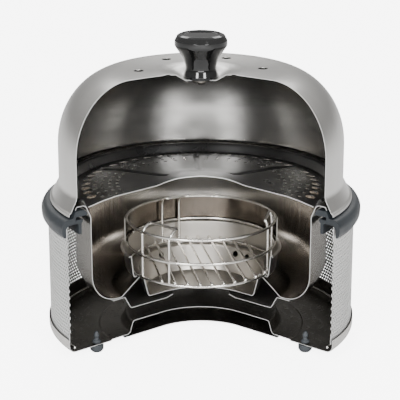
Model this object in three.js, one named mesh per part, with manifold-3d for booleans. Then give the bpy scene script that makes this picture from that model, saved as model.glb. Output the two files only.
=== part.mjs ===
// Round tabletop charcoal cooker, shown as a cutaway display model: a domed lid over a grill plate, a moated
// bowl with a fire tray and a wire fuel basket, and a perforated steel base with a plastic grip ring.
// A wedge is cut out of the front of every round shell; the basket and the knob stay whole.
// Millimetres, +Z up. The shells turn about Z, and heights are measured from the underside of the floor pan
// until the last lines, which stand the feet on z = 0 and centre the footprint on the origin.
import * as THREE from "three";
import { mergeVertices } from "three/addons/utils/BufferGeometryUtils.js";
import Module from "manifold-3d";

const wasm = await Module();
wasm.setup();

// ---- driving dimensions -------------------------------------------------------------------------------
const ringRadius = 160; // grip ring, outside: the widest part
const segments = 40; // facets round each large shell
const smallSegments = 16; // facets round the knob, feet and fasteners
const sheet = 1; // thickness of the pressed steel sheets
const footHeight = 8;
const footRadius = 7;
const footCircle = 120; // radius of the circle the feet stand on
const footAngles = [45, 135, 210.5, 329.5]; // degrees from +X

const meshRadius = 153.4; // outside of the perforated wall
const meshThickness = 1.2;
const meshBottom = 8.8;
const meshTop = 128;

const bowlRadius = 126.3; // middle of the bowl's wall
const bowlTop = 147.6;
const moatFloor = 43.3;
const trayRim = 83;
const trayFloor = 36;
const plateLevel = 149;
const plateRadius = 137;
const lidRadius = 142;
const lidSeat = 137.5;
const lidTop = 264;
const knobFoot = 256.3;

const basketRadius = 74.6; // middle of the basket's upper rings
const basketFootRadius = 73.4; // and of its bottom ring, which stands in the tray
const basketWire = 2.8; // diameter
const barWire = 2.4;
const basketLevels = { bottom: 64.2, middle: 87.6, top: 112 };
const barCount = 10;
const barPitch = 11.6;
const barTurn = 10; // degrees the floor bars are turned from the Y axis
const barOffset = 3.7; // middle of the row of bars, to the right of the centre
const hoops = [
  { name: "left", azimuth: -129.4, halfWidth: 13.9, inset: 12.5 }, // inset: top bar's distance inside the ring
  { name: "right", azimuth: -10, halfWidth: 12.6, inset: 3 },
  { name: "rear", azimuth: 116.6, halfWidth: 7.8, inset: 12.5 },
];
const hoopRise = 5; // how far a hoop's top bar stands above the ring
const clearance = 0.4; // between pieces that touch

// The wedge: its side walls' angle from -Y, where they would meet on the Y axis, and the corner's radius.
const bodyWedge = { halfAngle: 49.6, apex: 21.5, corner: 60 };
const lidWedge = { halfAngle: 57.5, apex: -3, corner: 32 };

// ---- materials ----------------------------------------------------------------------------------------
const material = (color, roughness, metalness) =>
  new THREE.MeshStandardMaterial({ color, roughness, metalness });
const brushedSteel = material(0xc9c7c3, 0.35, 1);
const polishedSteel = material(0xcfcac3, 0.18, 1);
const wireSteel = material(0xdedcd8, 0.2, 1);
const meshSteel = material(0xc4c4c2, 0.45, 1);
const darkEnamel = material(0x1e1e1c, 0.45, 0.2);
const gripPlastic = material(0x3d4347, 0.6, 0);
const knobPlastic = material(0x0d0d0c, 0.15, 0);
const footRubber = material(0x2f3436, 0.8, 0);

// ---- geometry helpers ---------------------------------------------------------------------------------
const radians = THREE.MathUtils.degToRad;
const polar = (radius, degrees, z) =>
  new THREE.Vector3(radius * Math.cos(radians(degrees)), radius * Math.sin(radians(degrees)), z);

/** A closed geometry as a manifold solid, its shared vertices merged. */
function solidOf(geometry) {
  const plain = geometry.clone();
  plain.deleteAttribute("normal");
  plain.deleteAttribute("uv");
  const merged = mergeVertices(plain, 1e-4);
  const vertProperties = new Float32Array(merged.attributes.position.array);
  const triVerts = new Uint32Array(merged.index.array);
  return new wasm.Manifold(new wasm.Mesh({ numProp: 3, vertProperties, triVerts }));
}

/** A manifold solid as a geometry. */
function geometryOf(solid) {
  const { vertProperties, triVerts } = solid.getMesh();
  const geometry = new THREE.BufferGeometry();
  geometry.setAttribute("position", new THREE.BufferAttribute(vertProperties, 3));
  geometry.setIndex(new THREE.BufferAttribute(triVerts, 1));
  geometry.computeVertexNormals();
  return geometry;
}

/** The outline [r, z] turned about Z; the outline closes on itself or starts and ends on the axis. */
function turned(outline, count = segments) {
  const closed = outline[0][0] === 0 ? outline : [...outline, outline[0]];
  const area = closed.slice(1).reduce((sum, [r, z], i) => sum + closed[i][0] * z - r * closed[i][1], 0);
  const ordered = area < 0 ? [...closed].reverse() : closed;
  const points = ordered.map(([r, z]) => new THREE.Vector2(r, z));
  return new THREE.LatheGeometry(points, count).rotateX(Math.PI / 2);
}

/** The line [r, z, cornerRadius] with each named corner rounded into an arc of short steps. */
function rounded(line, steps = 2) {
  return line.flatMap(([r, z, radius], i) => {
    if (!radius) return [[r, z]];
    const corner = new THREE.Vector2(r, z);
    const before = new THREE.Vector2(line[i - 1][0], line[i - 1][1]).sub(corner).normalize();
    const after = new THREE.Vector2(line[i + 1][0], line[i + 1][1]).sub(corner).normalize();
    const half = Math.acos(THREE.MathUtils.clamp(before.dot(after), -1, 1)) / 2;
    const centre = before.clone().add(after).normalize().multiplyScalar(radius / Math.sin(half)).add(corner);
    const start = before.multiplyScalar(radius / Math.tan(half)).add(corner).sub(centre);
    const end = after.multiplyScalar(radius / Math.tan(half)).add(corner).sub(centre);
    const sweep = Math.atan2(start.cross(end), start.dot(end));
    return Array.from({ length: steps + 1 }, (_, k) => {
      const point = start.clone().rotateAround(new THREE.Vector2(), (sweep * k) / steps).add(centre);
      return [point.x, point.y];
    });
  });
}

/** The outline of a sheet of even thickness whose middle follows the line. */
function sheetOutline(line, thickness = sheet) {
  const sides = line.map(([r, z], i) => {
    const [r0, z0] = line[Math.max(i - 1, 0)];
    const [r1, z1] = line[Math.min(i + 1, line.length - 1)];
    const before = new THREE.Vector2(r - r0, z - z0).normalize();
    const after = new THREE.Vector2(r1 - r, z1 - z).normalize();
    const along = before.clone().add(after).normalize();
    const stretch = Math.max(along.dot(i ? before : after), 0.5);
    const reach = thickness / 2 / stretch;
    return r === 0 ? [0, reach] : [-along.y * reach, along.x * reach];
  });
  const shifted = (sign) => line.map(([r, z], i) => [r + sign * sides[i][0], z + sign * sides[i][1]]);
  return [...shifted(1), ...shifted(-1).reverse()];
}

/** The solid that is cut away at the front: a tall prism with a rounded inner corner. */
function wedgeSolid({ halfAngle, apex, corner }) {
  const angle = radians(halfAngle);
  const reach = 2 * ringRadius;
  const centreY = apex - corner / Math.sin(angle);
  const outline = new THREE.Shape();
  outline.moveTo(-reach, apex - reach / Math.tan(angle));
  outline.lineTo(-reach, -2 * reach);
  outline.lineTo(reach, -2 * reach);
  outline.lineTo(reach, apex - reach / Math.tan(angle));
  outline.absarc(0, centreY, corner, angle, Math.PI - angle, false);
  outline.closePath();
  const options = { depth: 2 * reach, bevelEnabled: false, curveSegments: 10 };
  const prism = new THREE.ExtrudeGeometry(outline, options);
  return solidOf(prism.translate(0, 0, -reach / 2));
}

const bodyCut = wedgeSolid(bodyWedge);
const lidCut = wedgeSolid(lidWedge);
const cutAway = (geometry, cutter = bodyCut) => geometryOf(solidOf(geometry).subtract(cutter));

/** A round wire of six sides along a curve. */
function wire(curve, diameter, steps) {
  const section = new THREE.Shape();
  section.absarc(0, 0, diameter / 2, 0, 2 * Math.PI, false);
  const options = { steps, extrudePath: curve, curveSegments: 6, bevelEnabled: false };
  return new THREE.ExtrudeGeometry(section, options);
}

/** A closed wire ring, lying flat. */
function wireRing(radius, z, diameter, count = segments) {
  const sides = 6;
  const outline = Array.from({ length: sides }, (_, i) => {
    const turn = (2 * Math.PI * (i + 0.5)) / sides;
    return [radius + (diameter / 2) * Math.cos(turn), z + (diameter / 2) * Math.sin(turn)];
  });
  return turned(outline, count);
}

/** One sub-part: a named mesh added to a group. */
function add(group, name, geometry, finish) {
  const mesh = new THREE.Mesh(geometry, finish);
  mesh.name = name;
  group.add(mesh);
  return mesh;
}

// ---- base: floor pan, bottom plate, perforated wall, hem wire, grip ring, feet -------------------------
function makeBase() {
  const base = new THREE.Group();
  const drumRadius = 77; // raised middle of the floor
  const drumTop = 14.5;
  const drumSkirt = 4; // how far the drum's wall slopes out
  const rimTop = 14; // top of the pan's rolled-up edge
  const floorMiddle = sheet / 2;
  const panRadius = meshRadius + clearance + sheet / 2 + 0.6;
  const panLine = rounded([
    [0, drumTop],
    [drumRadius, drumTop, 2.5],
    [drumRadius + drumSkirt, floorMiddle, 2.5],
    [104, floorMiddle],
    [panRadius, floorMiddle, 8],
    [panRadius, rimTop],
  ]);
  add(base, "floor_pan", cutAway(turned(sheetOutline(panLine))), brushedSteel);

  const bottomRadius = 88;
  const underside = -clearance - sheet;
  const bottomPlate = [[0, underside], [bottomRadius, underside], [bottomRadius, -clearance],
    [0, -clearance]];
  add(base, "bottom_plate", cutAway(turned(bottomPlate)), brushedSteel);

  const meshInside = meshRadius - meshThickness;
  const wall = [[meshInside, meshBottom], [meshRadius, meshBottom], [meshRadius, meshTop],
    [meshInside, meshTop]];
  add(base, "perforated_wall", cutAway(turned(wall)), meshSteel);

  // A wire lies in the pan's rounded corner, under the wall's lower edge.
  const hemWire = 3;
  const hemRadius = meshInside - 3.2;
  const hemLevel = sheet + 4.2;
  add(base, "hem_wire", cutAway(wireRing(hemRadius, hemLevel, hemWire)), wireSteel);

  // The grip ring: an outer skirt over the wall's top edge, a web, an inner leg, and a collar under the
  // bowl's rim, with a channel between collar and web.
  const skirtBottom = 118.5;
  const collarTop = 142.8;
  const channelTop = lidSeat - 0.4;
  const webTop = 134;
  const webBottom = meshTop + 2.4;
  const gripOutline = [
    [155.3, skirtBottom + 0.6],
    [157, skirtBottom],
    [158.9, skirtBottom + 3],
    [ringRadius, skirtBottom + 8],
    [159.4, skirtBottom + 12.4],
    [157.2, skirtBottom + 15.8],
    [153.5, lidSeat - 0.9],
    [146.8, lidSeat - 0.9],
    [144.2, collarTop - 1.2],
    [142.4, collarTop],
    [134, collarTop],
    [130.4, collarTop - 3.8],
    [130.4, channelTop],
    [143.8, channelTop],
    [143.8, webTop],
    [135.6, webTop],
    [135.6, webTop - 1.8],
    [137.3, webTop - 3.2],
    [137.3, skirtBottom + 1],
    [140.6, skirtBottom + 1],
    [140.6, webBottom],
    [150.8, webBottom],
    [154.4, webBottom - 1.6],
    [155.3, webBottom - 4.6],
  ];
  add(base, "grip_ring", cutAway(turned(gripOutline)), gripPlastic);

  const stemRadius = 2.4;
  const flangeRadius = stemRadius + 2;
  const stemTop = 13;
  footAngles.forEach((azimuth, i) => {
    const foot = new THREE.Group();
    foot.position.copy(polar(footCircle, azimuth, 0));
    const pad = [[0, -footHeight], [footRadius - 1, -footHeight], [footRadius, 1 - footHeight],
      [footRadius, -clearance], [0, -clearance]];
    add(foot, `foot_${i + 1}`, turned(pad, smallSegments), footRubber);
    const stem = [[0, sheet + clearance], [flangeRadius, sheet + clearance], [flangeRadius, 4],
      [stemRadius, 6], [stemRadius, stemTop], [0, stemTop]];
    add(foot, `foot_stem_${i + 1}`, turned(stem, smallSegments), footRubber);
    base.add(foot);
  });
  return base;
}

// ---- bowl unit: moated bowl, fire tray, heat shield ----------------------------------------------------
function makeBowl() {
  const bowl = new THREE.Group();
  const bowlLine = rounded([
    [143.6, bowlTop - 3.2],
    [142.6, bowlTop - 0.5, 2],
    [132.4, bowlTop - 0.5, 6],
    [bowlRadius, 134, 6],
    [bowlRadius - 0.3, moatFloor, 30],
    [91, moatFloor, 5],
    [68.2, 59.6],
  ], 3);
  add(bowl, "moat_bowl", cutAway(turned(sheetOutline(bowlLine))), polishedSteel);

  const trayLine = rounded([
    [0, trayFloor],
    [57.6, trayFloor, 3],
    [64.6, 61.2, 3],
    [70.5, 61.2],
    [74.6, 60.2, 1.5],
    [76.3, 64],
    [78.4, trayRim, 1],
    [81.2, trayRim],
  ]);
  add(bowl, "fire_tray", cutAway(turned(sheetOutline(trayLine))), polishedSteel);

  const flangeLevel = moatFloor - sheet - clearance;
  const shieldLine = rounded([
    [102, flangeLevel],
    [87, flangeLevel, 2],
    [79.6, 29, 3],
    [36, 28.6, 3],
    [29, 31],
  ]);
  add(bowl, "heat_shield", cutAway(turned(sheetOutline(shieldLine))), brushedSteel);
  return bowl;
}

// ---- fuel basket: three rings, floor bars, lifting hoops, ember guard -----------------------------------
function makeBasket() {
  const basket = new THREE.Group();
  Object.entries(basketLevels).forEach(([level, z]) =>
    add(basket, `basket_ring_${level}`,
      wireRing(level === "bottom" ? basketFootRadius : basketRadius, z, basketWire), wireSteel));

  // Each floor bar ends just above the bottom ring, on a chord turned a little from front to back.
  const barLevel = basketLevels.bottom + (basketWire + barWire) / 2 + clearance;
  Array.from({ length: barCount }, (_, i) => {
    const offset = (i - (barCount - 1) / 2) * barPitch + barOffset;
    const half = Math.sqrt(basketFootRadius ** 2 - offset ** 2);
    const turn = new THREE.Vector3(0, 0, 1);
    const ends = [half, -half].map((y) =>
      new THREE.Vector3(offset, y, barLevel).applyAxisAngle(turn, radians(barTurn)));
    add(basket, `basket_bar_${i + 1}`, wire(new THREE.LineCurve3(...ends), barWire, 1), wireSteel);
  });

  // A hoop climbs inside the rings, and its top bar is set inwards and above the top ring.
  const hoopRadius = basketRadius - basketWire - clearance;
  hoops.forEach(({ name, azimuth, halfWidth, inset }) => {
    const inward = polar(-inset, azimuth, 0);
    const side = (sign, z) => polar(hoopRadius, azimuth + sign * halfWidth, z);
    const topZ = basketLevels.top + hoopRise;
    const corner = (sign) => side(sign, topZ).add(inward.clone().multiplyScalar(0.3));
    const top = (sign) => side(sign, topZ).add(inward);
    const path = new THREE.CurvePath();
    const start = barLevel + barWire;
    path.add(new THREE.LineCurve3(side(-1, start), side(-1, topZ - 6)));
    path.add(new THREE.QuadraticBezierCurve3(side(-1, topZ - 6), corner(-1), top(-1)));
    path.add(new THREE.LineCurve3(top(-1), top(1)));
    path.add(new THREE.QuadraticBezierCurve3(top(1), corner(1), side(1, topZ - 6)));
    path.add(new THREE.LineCurve3(side(1, topZ - 6), side(1, start)));
    add(basket, `basket_hoop_${name}`, wire(path, basketWire, 26), wireSteel);
  });

  const guardInside = basketRadius + basketWire / 2 + clearance;
  const guardSpan = [radians(-3), radians(183)]; // the rear half of the basket
  const guardThickness = 0.7;
  const plan = new THREE.Shape();
  plan.absarc(0, 0, guardInside + guardThickness, guardSpan[0], guardSpan[1], false);
  plan.absarc(0, 0, guardInside, guardSpan[1], guardSpan[0], true);
  const guardHeight = basketLevels.top - basketLevels.middle;
  const options = { depth: guardHeight, bevelEnabled: false, curveSegments: 24 };
  const guard = new THREE.ExtrudeGeometry(plan, options);
  add(basket, "ember_guard", guard.translate(0, 0, basketLevels.middle), polishedSteel);
  return basket;
}

// ---- grill plate ----------------------------------------------------------------------------------------
function makePlate() {
  const plate = new THREE.Group();
  const plateSheet = 1.6;
  const plateLine = [
    [0, plateLevel + 5.5],
    [24, plateLevel + 4.2],
    [46, plateLevel + 0.6],
    [126, plateLevel],
    [plateRadius - 2, plateLevel + 4],
    [plateRadius, plateLevel + 3],
  ];
  add(plate, "grill_plate", cutAway(turned(sheetOutline(plateLine, plateSheet))), darkEnamel);
  return plate;
}

// ---- lid: dome, knob, washer, screw ---------------------------------------------------------------------
function makeLid() {
  const lid = new THREE.Group();
  const dishFloor = knobFoot - sheet / 2 - clearance;
  const wallTop = 192;
  const crownRadius = 80; // the shoulder's quarter ellipse starts here
  const shoulderSteps = 7;
  const shoulder = Array.from({ length: shoulderSteps + 1 }, (_, i) => {
    const turn = (Math.PI / 2) * (1 - i / shoulderSteps);
    const outward = (lidRadius - sheet / 2 - crownRadius) * Math.cos(turn);
    const upward = (lidTop - sheet / 2 - wallTop) * Math.sin(turn);
    return [crownRadius + outward, wallTop + upward];
  });
  const domeLine = [
    [0, dishFloor],
    [19, dishFloor],
    [31, lidTop - 2],
    [41, lidTop],
    ...shoulder,
    [lidRadius - 0.5, 154],
    [150, 140.5],
    [150.6, lidSeat],
  ];
  add(lid, "lid_dome", cutAway(turned(sheetOutline(domeLine)), lidCut), brushedSteel);

  const knob = [
    [0, knobFoot], [17.5, knobFoot], [17.3, knobFoot + 3], [15.2, knobFoot + 7], [15.2, knobFoot + 11],
    [17.6, knobFoot + 17], [23.1, knobFoot + 27], [25.6, knobFoot + 32], [25.6, knobFoot + 37],
    [22.5, knobFoot + 42], [19.6, knobFoot + 43.2], [18.6, knobFoot + 42.2], [0, knobFoot + 42.2],
  ];
  add(lid, "knob", turned(knob, smallSegments), knobPlastic);

  const underside = dishFloor - sheet / 2 - clearance;
  const washerRadius = 11;
  const washerBottom = underside - 1.2;
  const washer = [[0, washerBottom], [washerRadius, washerBottom], [washerRadius, underside],
    [0, underside]];
  add(lid, "knob_washer", turned(washer, smallSegments), wireSteel);
  const headTop = washerBottom - clearance;
  const screwHead = [[0, headTop - 3.4], [3.4, headTop - 3.4], [5, headTop - 1.6], [5, headTop], [0, headTop]];
  add(lid, "knob_screw", turned(screwHead, smallSegments), wireSteel);
  return lid;
}

// ---- the whole object, its feet on z = 0 and its footprint centred on the origin ------------------------
const cooker = new THREE.Group();
cooker.add(makeBase(), makeBowl(), makeBasket(), makePlate(), makeLid());
cooker.updateMatrixWorld(true);
const extent = new THREE.Box3().setFromObject(cooker, true);
const middle = extent.getCenter(new THREE.Vector3());
cooker.position.set(-middle.x, -middle.y, -extent.min.z);

export default cooker;
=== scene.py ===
import math

import bpy
import numpy as np
from mathutils import Matrix, Vector, geometry


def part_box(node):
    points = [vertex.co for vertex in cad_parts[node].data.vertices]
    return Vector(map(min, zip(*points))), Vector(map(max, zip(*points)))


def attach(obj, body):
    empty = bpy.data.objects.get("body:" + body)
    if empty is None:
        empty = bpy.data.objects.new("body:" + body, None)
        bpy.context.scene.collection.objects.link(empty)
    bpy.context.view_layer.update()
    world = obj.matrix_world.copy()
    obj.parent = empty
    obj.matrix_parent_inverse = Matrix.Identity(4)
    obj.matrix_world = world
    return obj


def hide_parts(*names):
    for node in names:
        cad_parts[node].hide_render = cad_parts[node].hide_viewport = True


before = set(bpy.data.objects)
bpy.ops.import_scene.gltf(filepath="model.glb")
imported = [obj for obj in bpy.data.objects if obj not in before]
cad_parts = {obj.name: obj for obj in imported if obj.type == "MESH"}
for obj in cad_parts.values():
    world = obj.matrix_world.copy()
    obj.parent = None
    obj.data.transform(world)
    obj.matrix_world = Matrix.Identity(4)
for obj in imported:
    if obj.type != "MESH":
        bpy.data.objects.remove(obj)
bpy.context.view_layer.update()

# ---- Studio ----------------------------------------------------------------------------------------------
# The cooker stands on a pale floor under a white ceiling, in a room that is dimmer towards its walls. Soft
# boxes stand left and right of the camera and behind the cooker, and a low strip in front fills the cut-out.
# The camera looks straight at the cut-out, from a little above.
knob_low, knob_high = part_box("knob")
AXIS = (np.array(knob_low) + np.array(knob_high))[:2] / 2  # the cooker's vertical axis, in metres
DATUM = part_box("floor_pan")[0].z  # heights below are millimetres above the floor pan's underside
MM = 0.001

HORIZON = 0.34  # brightness of the room's walls and of its ceiling
ZENITH = 1.0
TARGET_HEIGHT = 130.2
CAMERA_DISTANCE = 1529.0
CAMERA_PITCH = math.radians(17.03)
CAMERA_LENS = 136.86

camera_data = bpy.data.cameras.new("camera")
camera_data.lens = CAMERA_LENS
camera_data.sensor_width = 36
camera = bpy.data.objects.new("camera", camera_data)
camera.location = (
    AXIS[0] - 0.95 * MM,
    AXIS[1] - CAMERA_DISTANCE * MM * math.cos(CAMERA_PITCH),
    DATUM + TARGET_HEIGHT * MM + CAMERA_DISTANCE * MM * math.sin(CAMERA_PITCH),
)
camera.rotation_euler = (math.pi / 2 - CAMERA_PITCH, 0, 0)
bpy.context.scene.collection.objects.link(camera)
bpy.context.scene.camera = camera

def set_inputs(made, sockets):
    """Constant values on a shader node's inputs, by name or by number."""
    for socket, value in sockets.items():
        made.inputs[socket].default_value = value


def node(tree, kind, place, sockets=None, **settings):
    """A shader node at a place on the sheet, with its settings and its constant inputs."""
    made = tree.nodes.new(kind)
    made.location = place
    for name, value in settings.items():
        setattr(made, name, value)
    set_inputs(made, sockets or {})
    return made


def connect(tree, *links):
    """Links between nodes, each given as one node and its output, then the next node and its input."""
    for start, output, end, socket in links:
        tree.links.new(start.outputs[output], end.inputs[socket])


# The floor is overexposed to a plain white, without throwing that light up at the cooker.
FLOOR_SIZE = 24.0
FLOOR_GLOW = 6.0
corner = FLOOR_SIZE / 2
floor_mesh = bpy.data.meshes.new("studio_floor")
floor_mesh.from_pydata([(x * corner, y * corner, 0) for x, y in ((-1, -1), (1, -1), (1, 1), (-1, 1))],
                       [], [(0, 1, 2, 3)])
studio_floor = bpy.data.objects.new("studio_floor", floor_mesh)
bpy.context.scene.collection.objects.link(studio_floor)

floor_paint = bpy.data.materials.new("studio_paint")
floor_paint.use_nodes = True
paint_tree = floor_paint.node_tree
floor_shader = paint_tree.nodes["Principled BSDF"]
set_inputs(floor_shader, {"Base Color": (0.8, 0.8, 0.8, 1), "Roughness": 0.9, "Specular IOR Level": 0.1,
                          "Emission Color": (1, 1, 1, 1)})
floor_view = node(paint_tree, "ShaderNodeLightPath", (-500, 0))
floor_glow = node(paint_tree, "ShaderNodeMath", (-250, 0), {1: FLOOR_GLOW}, operation="MULTIPLY")
connect(paint_tree, (floor_view, "Is Camera Ray", floor_glow, 0),
        (floor_glow, 0, floor_shader, "Emission Strength"))
floor_mesh.materials.append(floor_paint)

world = bpy.data.worlds.new("studio")
world.use_nodes = True
bpy.context.scene.world = world
sky = world.node_tree
set_inputs(sky.nodes["Background"], {"Color": (1.0, 0.995, 0.985, 1)})
sky_direction = node(sky, "ShaderNodeTexCoord", (-900, 0))
sky_height = node(sky, "ShaderNodeSeparateXYZ", (-700, 0))
sky_ramp = node(sky, "ShaderNodeMapRange", (-500, 0),
                {"From Min": 0.05, "From Max": 0.85, "To Min": HORIZON, "To Max": ZENITH},
                interpolation_type="SMOOTHSTEP")
connect(sky, (sky_direction, "Generated", sky_height, 0), (sky_height, "Z", sky_ramp, "Value"),
        (sky_ramp, "Result", sky.nodes["Background"], "Strength"))


def soft_box(name, place, aim, size, power):
    """A rectangular area light at place, turned so that it shines towards aim. All in metres and watts."""
    data = bpy.data.lights.new(name, "AREA")
    data.shape = "RECTANGLE"
    data.size, data.size_y = size
    data.energy = power
    light = bpy.data.objects.new(name, data)
    light.location = place
    light.visible_camera = False
    light.rotation_euler = (Vector(aim) - Vector(place)).to_track_quat("-Z", "Y").to_euler()
    bpy.context.scene.collection.objects.link(light)


soft_box("left_box", (-0.86, -1.72, 1.30), (0, 0, 0.2), (0.5, 0.8), 42)
soft_box("right_box", (0.86, -1.72, 1.30), (0, 0, 0.2), (0.5, 0.8), 42)
soft_box("rear_box", (0.0, 2.6, 2.6), (0, 0.3, 0.1), (3.0, 1.2), 60)
soft_box("front_fill", (0.0, -2.4, 0.45), (0, 0, 0.15), (1.9, 0.4), 26)

# ---- Floor pan -------------------------------------------------------------------------------------------
# The floor is one disc of satin stainless steel, pressed into a low drum in the middle and turned up at the
# edge. Every round sheet here is spun or pressed, then cut open at the front, and its cut edge is polished.
BODY_WEDGE = (math.radians(49.6), 21.5, 60.0)  # side walls' angle from -Y, their meeting point, corner radius
SHEET = 0.6
COLUMNS = 200


def rounded(corners, steps=7):
    """The line through corners (r, z) or (r, z, radius): a corner with a radius becomes a circular arc that
    is tangent to both sides, in even steps of its angle."""
    line = []
    for k, (r, z, *radius) in enumerate(corners):
        if not radius:
            line.append((r, z))
            continue
        here = np.array([r, z])
        back = np.array(corners[k - 1][:2]) - here
        ahead = np.array(corners[(k + 1) % len(corners)][:2]) - here
        back, ahead = back / np.linalg.norm(back), ahead / np.linalg.norm(ahead)
        half = math.acos(np.clip(back @ ahead, -1, 1)) / 2
        middle = (back + ahead) / np.linalg.norm(back + ahead)
        centre = here + middle * radius[0] / math.sin(half)
        start, end = (here + side * radius[0] / math.tan(half) - centre for side in (back, ahead))
        sweep = math.atan2(start[0] * end[1] - start[1] * end[0], start @ end)
        turn = np.linspace(0, sweep, steps)
        line += list(zip(centre[0] + start[0] * np.cos(turn) - start[1] * np.sin(turn),
                         centre[1] + start[0] * np.sin(turn) + start[1] * np.cos(turn)))
    return np.array(line, float)


def spaced(line, step):
    """The line with extra points, so that no stretch between two points is longer than step."""
    parts = [line[:1]]
    for start, end in zip(line[:-1], line[1:]):
        count = max(1, math.ceil(np.linalg.norm(end - start) / step))
        share = np.linspace(0, 1, count + 1)[1:, None]
        parts.append(start + (end - start) * share)
    return np.concatenate(parts)


def line_normals(line):
    """Left-hand unit normals (-dz, dr) of the line at its points."""
    slope = np.gradient(line, axis=0)
    slope /= np.linalg.norm(slope, axis=1, keepdims=True)
    return np.stack([-slope[:, 1], slope[:, 0]], axis=1)


def line_reach(line):
    """The line's first radius plus its length up to each point."""
    return line[0, 0] + np.concatenate([[0], np.cumsum(np.linalg.norm(np.diff(line, axis=0), axis=1))])


def cut_azimuth(radius, wedge):
    """Azimuth from -Y at which the cut crosses a circle of this radius about the axis: by the law of cosines
    on the rounded corner, and by the law of sines on the straight side walls."""
    half, meeting, corner_radius = wedge
    arc_y = meeting - corner_radius / math.sin(half)
    tangent_radius = math.hypot(corner_radius * math.cos(half), arc_y + corner_radius * math.sin(half))
    r = np.maximum(np.asarray(radius, float), 1e-6)
    on_corner = np.arccos(np.clip((corner_radius**2 - arc_y**2 - r**2) / (2 * r * arc_y), -1, 1))
    on_side = half + np.arcsin(np.clip(meeting * math.sin(half) / r, -1, 1))
    return np.where(r < tangent_radius, on_corner, on_side)


def polar(r, azimuth, z):
    """Points in millimetres about the axis: (r sin azimuth, -r cos azimuth, z)."""
    r, azimuth, z = np.broadcast_arrays(r, azimuth, z)
    return np.stack([r * np.sin(azimuth), -r * np.cos(azimuth), z], axis=-1)


def cut_columns(count):
    """Shares -1 to 1 of the way round from one cut edge to the other, with two extra close to each edge."""
    close = 0.0022
    inner = np.linspace(-1 + 4 * close, 1 - 4 * close, count)
    return np.concatenate([[-1, -1 + close], inner, [1 - close, 1]])


def turned_surface(line, wedge, count=COLUMNS):
    """The line (r, z) carried round the axis: column u stands at azimuth pi + u (pi - cut(r)). Without a
    wedge it goes all the way round."""
    share = cut_columns(count)
    edge = cut_azimuth(line[:, 0], wedge) if wedge else np.zeros(len(line))
    azimuth = math.pi + share * (math.pi - edge[:, None])
    direction = line_normals(line)
    rows, cols = azimuth.shape
    index = np.arange(rows * cols).reshape(rows, cols)
    quads = np.stack([index[:-1, :-1], index[1:, :-1], index[1:, 1:], index[:-1, 1:]], axis=-1)
    chart = np.stack(np.broadcast_arrays(azimuth * line[:, 0].max(), line_reach(line)[:, None]), -1)
    return {
        "points": polar(line[:, :1], azimuth, line[:, 1:]).reshape(-1, 3),
        "normals": polar(direction[:, :1], azimuth, direction[:, 1:]).reshape(-1, 3),
        "chart": chart.reshape(-1, 2),
        "cut": np.broadcast_to((np.abs(share) == 1) & (edge[:, None] > 0), (rows, cols)).reshape(-1),
        "faces": [quads.reshape(-1, 4)],
    }


def joined(*surfaces):
    """Several surfaces as one. Their shared borders are merged when the sheet is made."""
    start = np.cumsum([0] + [len(s["points"]) for s in surfaces])
    whole = {key: np.concatenate([s[key] for s in surfaces]) for key in ("points", "normals", "chart", "cut")}
    whole["faces"] = [face + first for s, first in zip(surfaces, start) for face in s["faces"]]
    return whole


def mesh_piece(name, points, faces, chart, slots, finishes):
    """A mesh object from points in millimetres about the axis, with its chart (UV) in decimetres."""
    mesh = bpy.data.meshes.new(name)
    placed = points * MM + np.array([AXIS[0], AXIS[1], DATUM])
    mesh.from_pydata(placed.tolist(), [], faces)
    uv = mesh.uv_layers.new(name="surface")
    uv.data.foreach_set("uv", (chart * 0.01).astype(np.float32).ravel())
    mesh.polygons.foreach_set("material_index", slots.astype(np.int32))
    mesh.polygons.foreach_set("use_smooth", np.ones(len(faces), bool))
    for finish in finishes:
        mesh.materials.append(finish)
    mesh.set_sharp_from_angle(angle=math.radians(38))
    mesh.update()
    piece = bpy.data.objects.new(name, mesh)
    bpy.context.scene.collection.objects.link(piece)
    return piece


def sheet_piece(name, surface, thickness, finish, edge_finish, back_finish=None):
    """A sheet of even thickness whose middle is the surface: both sides stand off along its normals, and a
    wall joins them along every open border. The side that the normals point away from may have a finish of
    its own."""
    keys = np.round(surface["points"], 4) + 0.0
    _, first, merged = np.unique(keys, axis=0, return_index=True, return_inverse=True)
    merged = merged.reshape(-1)
    count = len(first)
    points, normals = surface["points"][first], surface["normals"][first]
    chart, cut = surface["chart"], surface["cut"][first]
    both = np.concatenate([points + normals * thickness / 2, points - normals * thickness / 2])
    back = 0 if back_finish is None else 2
    faces, charts, edges, slots = [], [], [], []
    for block in surface["faces"]:
        corners = merged[block]
        ahead = np.roll(corners, -1, axis=1)
        whole = (corners != ahead).all(axis=1)
        chosen, raw = corners[whole], block[whole]
        faces += chosen.tolist() + (chosen[:, ::-1] + count).tolist()
        charts += [chart[raw].reshape(-1, 2), chart[raw[:, ::-1]].reshape(-1, 2)]
        slots += [0] * len(chosen) + [back] * len(chosen)
        for few, raw in zip(corners[~whole].tolist(), block[~whole].tolist()):
            kept = [i for i in range(len(few)) if few[i] != few[i - 1]]
            if len(set(few)) >= 3:
                faces += [[few[i] for i in kept], [few[i] + count for i in kept[::-1]]]
                charts += [chart[[raw[i] for i in kept]], chart[[raw[i] for i in kept[::-1]]]]
                slots += [0, back]
        pairs = np.stack([corners, ahead], axis=-1).reshape(-1, 2)
        edges.append(pairs[pairs[:, 0] != pairs[:, 1]])
    edges = np.concatenate(edges)
    forward, backward = edges[:, 0] * count + edges[:, 1], edges[:, 1] * count + edges[:, 0]
    open_edges = edges[~np.isin(forward, backward)]
    p, q = open_edges.T
    faces += np.stack([q, p, p + count, q + count], axis=1).tolist()
    charts.append(chart[first[np.stack([q, p, p, q], axis=1)]].reshape(-1, 2))
    slots = np.concatenate([slots, (cut[p] & cut[q]).astype(int)])
    finishes = [finish, edge_finish] + ([back_finish] if back_finish else [])
    return mesh_piece(name, both, faces, np.concatenate(charts), slots, finishes)


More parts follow.
